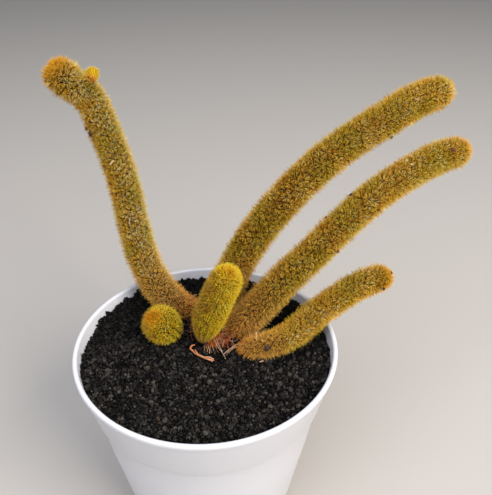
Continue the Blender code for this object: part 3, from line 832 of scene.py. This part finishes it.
def makePot(material):
    top = potForm["height"]
    lipWidth, lipHeight = potForm["lip"]
    lipFoot = top - lipHeight
    collarFoot = top - potForm["collar"]
    slim = collarFoot - potForm["slimLength"]
    wall, floor, footRound, tuck = [potForm[key] for key in ("wall", "floor", "footRound", "tuck")]
    over, under = potForm["innerStep"]
    profile = [
        (0, 0), (bodyRadius(0) - footRound, 0), (bodyRadius(footRound), footRound),
        (bodyRadius(slim), slim), (bodyRadius(collarFoot) - tuck, collarFoot),
        (collarRadius(collarFoot) - tuck, collarFoot + potForm["stepSlope"]),
        (collarRadius(lipFoot), lipFoot), (potForm["rim"], lipFoot + potForm["lipSlope"]),
        (potForm["rim"], top), (potForm["rim"] - lipWidth, top),
        (collarRadius(collarFoot) - wall, collarFoot + over),
        (bodyRadius(collarFoot) - wall, collarFoot - under),
        (bodyRadius(floor) - wall, floor), (0, floor),
    ]
    bm = bmesh.new()
    verts = [bm.verts.new((radius, 0, height)) for radius, height in profile]
    edges = [bm.edges.new(pair) for pair in zip(verts, verts[1:])]
    lip = verts[8:10]
    for corners, offset in ((lip, potForm["lipRound"]), (verts[1:8] + verts[10:-1], potForm["round"])):
        bmesh.ops.bevel(
            bm, geom=corners, affect="VERTICES", offset=offset, offset_type="OFFSET", segments=4,
            profile=0.5, material=-1,
        )
    bmesh.ops.spin(
        bm, geom=bm.verts[:] + bm.edges[:], cent=(0, 0, 0), axis=(0, 0, 1), angle=2 * math.pi,
        steps=potForm["steps"], use_merge=True,
    )
    bmesh.ops.remove_doubles(bm, verts=bm.verts, dist=0.00001)
    bmesh.ops.recalc_face_normals(bm, faces=bm.faces)
    pot = newPiece("nurseryPot", bm, [material], "pot")
    drain = potForm["drain"]
    pegs = bmesh.new()
    for index in range(drain["count"]):
        turn = Matrix.Rotation(2 * math.pi * (index + 0.5) / drain["count"], 4, "Z")
        bmesh.ops.create_cone(
            pegs, cap_ends=True, segments=drain["sides"], radius1=drain["radius"], radius2=drain["radius"],
            depth=floor * 3, matrix=turn @ Matrix.Translation((drain["circle"], 0, floor / 2)),
        )
    mesh = bpy.data.meshes.new("pegs")
    pegs.to_mesh(mesh)
    pegs.free()
    cutter = bpy.data.objects.new("pegs", mesh)
    bpy.context.scene.collection.objects.link(cutter)
    cut = pot.modifiers.new("drain", "BOOLEAN")
    cut.object = cutter
    cut.solver = "EXACT"
    mesh = bpy.data.meshes.new_from_object(pot.evaluated_get(bpy.context.evaluated_depsgraph_get()))
    pot.modifiers.clear()
    pot.data = mesh
    bpy.data.objects.remove(cutter, do_unlink=True)
    mesh.shade_smooth()
    mesh.set_sharp_from_angle(angle=math.radians(40))
    return pot


def potMaterial():
    # injection moulded polypropylene: an even white with a soft sheen and a faint orange peel
    material, tree, shader = newMaterial("moulded white polypropylene", 0.34, 1.49)
    place = addNode(tree, "ShaderNodeTexCoord").outputs["Object"]
    shader.inputs["Base Color"].default_value = hexColour("#CFD0D5")
    shader.inputs["Subsurface Weight"].default_value = 0.3      # the thin wall lets some light through
    shader.inputs["Subsurface Radius"].default_value = (1.0, 1.0, 1.0)
    shader.inputs["Subsurface Scale"].default_value = 0.003
    peel = addNode(
        tree, "ShaderNodeTexNoise", {"Scale": 900.0, "Detail": 2.0}, {"Vector": place},
    ).outputs["Fac"]
    bump = addNode(
        tree, "ShaderNodeBump", {"Strength": 0.05, "Distance": 0.0002}, {"Height": peel},
    ).outputs["Normal"]
    tree.links.new(bump, shader.inputs["Normal"])
    return material


# Dry bits: a split forked stalk, threads, a stick, and crumbs caught in the spines

dryForm = {
    "gap": 0.0003,
    "rough": 0.45, "flat": 0.3,         # how far a twig's radius strays, and how far it is flattened
    "stalk": ((-0.0106, -0.0018, 0), (-0.0052, -0.0074, 0), (0.0004, -0.0108, 0), (0.0046, -0.0132, 0)),
    "fork": ((-0.0040, -0.0085, 0), (-0.0058, -0.0066, 0.0012), (-0.0072, -0.0054, 0.0030)),
    "radius": (0.0008, 0.0012),
    "hook": ((-0.0106, -0.0024, 0.0006), (-0.0098, -0.0008, 0.0020), (-0.0076, -0.0002, 0.0028)),
    "splinters": 4,
    "sway": 0.0004,
    # first and last point with their heights over the grit, radius and tone
    "threads": (
        ((0.0003, 0.0046, 0.0040), (0.0023, -0.0071, 0.0012), 0.00028, 0.8),
        ((0.0012, 0.0046, 0.0042), (0.0036, -0.0062, 0.0010), 0.00022, 0.6),
        ((0.0030, 0.0046, 0.0042), (0.0056, -0.0071, 0.0010), 0.00024, 0.75),
        ((0.0051, 0.0026, 0.0046), (0.0129, -0.0124, 0.0010), 0.00022, 0.9),
        ((0.0065, 0.0030, 0.0046), (0.0109, -0.0071, 0.0012), 0.00026, 0.85),
        ((0.0046, 0.0030, 0.0044), (0.0082, -0.0066, 0.0010), 0.00022, 0.7),
        ((-0.0009, 0.0030, 0.0034), (0.0007, -0.0052, 0.0010), 0.00024, 0.7),
        ((-0.0022, 0.0020, 0.0034), (-0.0012, -0.0042, 0.0012), 0.00022, 0.75),
        ((-0.0097, 0.0026, 0.0012), (-0.0055, 0.0107, 0.0040), 0.00034, 0.45),
        ((-0.0157, 0.0456, 0.0064), (-0.0093, 0.0474, 0.0068), 0.00022, 0.8),
        ((0.0115, -0.0080, 0.0008), (0.0196, -0.0080, 0.0088), 0.00036, 0.85),
        ((0.0121, -0.0086, 0.0006), (0.0200, -0.0086, 0.0080), 0.00030, 0.75),
        ((0.0344, -0.0147, 0.0008), (0.0396, -0.0138, 0.0012), 0.00050, 0.8),
        ((-0.0012, -0.0016, 0.0034), (0.0010, -0.0012, 0.0054), 0.00095, 0.0),
    ),
    # loose hairs among the stems' feet: middle, spread, how many
    "tangle": (((0.0118, 0.0040), (0.0060, 0.0070), 52), ((-0.0095, 0.0185), (0.0050, 0.0090), 30)),
    "hair": {
        "length": (0.005, 0.012), "radius": (0.00012, 0.00022), "rise": (0.001, 0.0065),
        "clear": 0.0005, "bend": 0.5, "tones": (0.2, 0.3, 0.4, 0.55, 0.8),
    },
    "seed": 12,
}
crumbs = {
    "roughen": 0.35, "paleHeight": 0.0042, "paleRadii": (0.00034, 0.00022),
    # stem, distance along it, angle round it in degrees, size and tone
    # then a dark one's height over the skin, or a pale one's turn in degrees
    "dark": (
        ("stem_left", 0.1510, 322, 0.0021, 0.0, 0.0026), ("stem_left", 0.1465, 342, 0.0024, 0.05, 0.0026),
        ("stem_left", 0.0695, 88, 0.0014, 0.0, 0.0030), ("stem_back", 0.1795, 272, 0.0016, 0.0, 0.0026),
        ("stem_right", 0.0885, 224, 0.0015, 0.1, 0.0028), ("stem_right", 0.1205, 92, 0.0014, 0.0, 0.0026),
        ("stem_right", 0.0985, 92, 0.0012, 0.1, 0.0026), ("stem_low", 0.1185, 136, 0.0015, 0.0, 0.0026),
        ("stem_low", 0.1090, 216, 0.0014, 0.0, 0.0026), ("stem_low", 0.0175, 174, 0.0021, 0.0, 0.0043),
        ("stem_right", 0.1945, 168, 0.0019, 0.15, 0.0040),
    ),
    "pale": (
        ("stem_left", 0.1210, 28, 0.0042, 1.0, 60), ("stem_left", 0.0765, 36, 0.0036, 0.9, 20),
        ("stem_back", 0.2010, 184, 0.0034, 0.85, 30), ("stem_back", 0.1405, 100, 0.0026, 1.0, 80),
        ("stem_right", 0.1610, 132, 0.0022, 1.0, 15), ("stem_right", 0.1615, 152, 0.0022, 1.0, 60),
        ("stem_low", 0.0138, 120, 0.0068, 0.85, 90),
    ),
}


def groundUnder(point, radius, ground):
    hits = []
    for dx in (-radius, 0, radius):
        for dy in (-radius, 0, radius):
            above = Vector((point.x + dx, point.y + dy, potForm["height"]))
            hits.append(ground.ray_cast(above, Vector((0, 0, -1)))[0].z)
    return max(hits)


def lyingLine(points, radius, ground):
    # a line over the grit that clears the highest lump near each of its points, at the rises given
    line = smoothLine([Vector((x, y, 0)) for x, y, _ in points])
    heights = [groundUnder(point, radius, ground) for point in line]
    rises = [rise for _, _, rise in points]
    lying = []
    for index in range(0, len(line), 4):
        near = heights[max(index - 4, 0):index + 5]
        share = index / (len(line) - 1) * (len(rises) - 1)
        low = min(int(share), len(rises) - 2)
        rise = rises[low] + (rises[low + 1] - rises[low]) * (share - low)
        lying.append(Vector((line[index].x, line[index].y, max(near) + radius + dryForm["gap"] + rise)))
    return lying


def addTwig(bm, points, radii, tone, rng, sides=10):
    # a dry, slightly flattened and uneven tube
    line = Line(points)
    phase = rng.uniform(0, 50)

    def shape(twig, vertex, distance, angle):
        share = distance / line.length
        place, heading, side = line.at(distance)
        rough = noise.noise(Vector((phase, distance * 900, math.cos(angle) * 1.5)))
        radius = (radii[0] + (radii[1] - radii[0]) * share) * (1 + dryForm["rough"] * rough)
        radius *= 1 - dryForm["flat"] * max(0.0, math.cos(angle * 2 + phase)) ** 2
        vertex.co = place + (side * math.cos(angle) + heading.cross(side) * math.sin(angle)) * radius
        vertex[twig.verts.layers.float["tone"]] = tone
        vertex[twig.verts.layers.float["along"]] = distance + phase
        vertex[twig.verts.layers.float["around"]] = math.cos(angle)

    twig = drawnTube(sides, line.length, max(radii) * 1.2, ("tone", "along", "around"), shape)
    mesh = bpy.data.meshes.new("twig")
    twig.to_mesh(mesh)
    twig.free()
    bm.from_mesh(mesh)
    bpy.data.meshes.remove(mesh)


def newDryMesh():
    bm = bmesh.new()
    for name in ("tone", "along", "around"):
        bm.verts.layers.float.new(name)
    return bm


def makeStalk(material, ground):
    rng = random.Random(dryForm["seed"])
    bm = newDryMesh()
    first, last = dryForm["radius"]
    line = lyingLine(dryForm["stalk"], first, ground)
    addTwig(bm, line, (first, last * 0.8), 0.64, rng, sides=16)
    addTwig(bm, lyingLine(dryForm["fork"], first * 0.6, ground), (first * 0.75, first * 0.5), 0.52, rng)
    low = groundUnder(Vector(dryForm["hook"][0]), first, ground)
    hook = [Vector((x, y, low + first + z)) for x, y, z in dryForm["hook"]]
    addTwig(bm, hook, (first * 0.8, first * 0.5), 0.5, rng)
    for index in range(dryForm["splinters"]):
        # the lower end is split, and its fibres spread a little
        across = index - (dryForm["splinters"] - 1) / 2
        start = line[len(line) // 2 + rng.randint(-1, 1)]
        end = line[-1] + Vector((rng.uniform(-0.0006, 0.0012), across * 0.0007, rng.uniform(0, 0.0008)))
        middle = start.lerp(end, 0.5) + Vector((0, across * 0.0006, rng.uniform(0.0002, 0.0007)))
        addTwig(bm, [start, middle, end], (first * 0.5, first * 0.35), rng.uniform(0.5, 0.85), rng, sides=8)
    return newPiece("dryStalk", bm, [material], "dry_stalk")


def makeThreads(material, ground):
    rng = random.Random(dryForm["seed"] + 1)
    bm = newDryMesh()
    for first, last, radius, tone in dryForm["threads"]:
        points = []
        for share in (0, 0.35, 0.7, 1):
            spot = Vector(first).lerp(Vector(last), share)
            low = groundUnder(spot, radius, ground)
            sway = 0 if share in (0, 1) else rng.uniform(-dryForm["sway"], dryForm["sway"])
            points.append(Vector((spot.x + sway, spot.y + sway, low + radius + spot.z)))
        addTwig(bm, points, (radius, radius * 0.7), tone, rng, sides=8)
    hair = dryForm["hair"]
    for (x, y), (wide, deep), count in dryForm["tangle"]:
        for index in range(count):
            spot = Vector((x + rng.gauss(0, wide / 2), y + rng.gauss(0, deep / 2), 0))
            low = groundUnder(spot, hair["clear"], ground)
            bearing = rng.uniform(0, 2 * math.pi)
            length = rng.uniform(*hair["length"])
            points = []
            for step in range(4):
                points.append(Vector((spot.x, spot.y, low + rng.uniform(*hair["rise"]))))
                bearing += rng.gauss(0, hair["bend"])
                spot = spot + Vector((math.cos(bearing), math.sin(bearing), 0)) * length / 3
            radius = rng.uniform(*hair["radius"])
            addTwig(bm, points, (radius, radius * 0.6), rng.choice(hair["tones"]), rng, sides=4)
    return newPiece("dryThreads", bm, [material])


def makeCrumbs(material, allStems):
    rng = random.Random(dryForm["seed"] + 2)
    bm = newDryMesh()
    for name, distance, angle, size, tone, height in crumbs["dark"]:
        stem = allStems[name]
        point, out, heading = stem.surface(distance, math.radians(angle))
        spin = Matrix.Rotation(rng.uniform(0, fullTurn), 4, "Z")
        turn = out.to_track_quat("Z", "Y").to_matrix().to_4x4() @ spin
        shape = Matrix.Diagonal((size, size * 0.7, size * 0.5, 1))
        place = Matrix.Translation(point + out * height) @ turn @ shape
        for vertex in bmesh.ops.create_icosphere(bm, subdivisions=2, radius=1)["verts"]:
            rough = noise.noise(vertex.co * 1.7 + Vector((distance * 1000, 0, 0)))
            vertex.co *= 1 + crumbs["roughen"] * rough
            vertex.co = place @ vertex.co
            vertex[bm.verts.layers.float["tone"]] = tone
    for name, distance, angle, size, tone, turn in crumbs["pale"]:
        stem = allStems[name]
        point, out, heading = stem.surface(distance, math.radians(angle))
        turn = math.radians(turn)
        across = (heading * math.cos(turn) + heading.cross(out) * math.sin(turn)).normalized()
        middle = point + out * crumbs["paleHeight"]
        points = [middle - across * size / 2, middle + out * size * 0.14, middle + across * size / 2]
        addTwig(bm, points, crumbs["paleRadii"], tone, rng, sides=6)
    return newPiece("caughtCrumbs", bm, [material])


def dryMaterial():
    # sun-dried plant fibre: tan with darker lengthwise streaks, and near black where it has rotted
    material, tree, shader = newMaterial("dry plant fibre", 0.75, 1.5)
    own, around, along = [
        addNode(tree, "ShaderNodeAttribute", {"attribute_name": name}).outputs["Fac"]
        for name in ("tone", "around", "along")
    ]
    tone = addNode(tree, "ShaderNodeValToRGB", {"stops": (
        (0.0, "#160E0E"), (0.2, "#5E240C"), (0.4, "#B4560F"), (0.7, "#B8845A"), (1.0, "#EAD4B4"),
    )}, {0: own}).outputs["Color"]
    place = addNode(tree, "ShaderNodeCombineXYZ", None, {0: around, 1: along}).outputs[0]
    stretch = addNode(
        tree, "ShaderNodeMapping", {"Scale": (3.0, 120.0, 1.0)}, {"Vector": place},
    ).outputs["Vector"]
    streaks = addNode(
        tree, "ShaderNodeTexNoise", {"Scale": 2.0, "Detail": 3.0}, {"Vector": stretch},
    ).outputs["Fac"]
    tone = overlay(tree, tone, "#6A3A1C", streaks, 0.45, 0.65, 0.7)
    tree.links.new(tone, shader.inputs["Base Color"])
    bump = addNode(
        tree, "ShaderNodeBump", {"Strength": 0.5, "Distance": 0.0003}, {"Height": streaks},
    ).outputs["Normal"]
    tree.links.new(bump, shader.inputs["Normal"])
    return material


makeStage()
print("stage ready")
allStems = {name: Stem(sizes) for name, sizes in stems.items()}
makePot(potMaterial())
lava = gritMaterial()
ground = makeBed(lava)
stalkLine = lyingLine(dryForm["stalk"], dryForm["radius"][0], ground)
makeGrains(lava, ground, allStems, stalkLine)
fibre = dryMaterial()
makeStalk(fibre, ground)
makeThreads(fibre, ground)
makeCrumbs(fibre, allStems)
tufts = {age: makeTufts(tuftForms[age]) for age in ("grown", "young")}
stemMaterials = stemMaterialSet()
for name, sizes in stems.items():
    makeStem(name, tufts["young" if sizes["young"] else "grown"], stemMaterials, allStems)
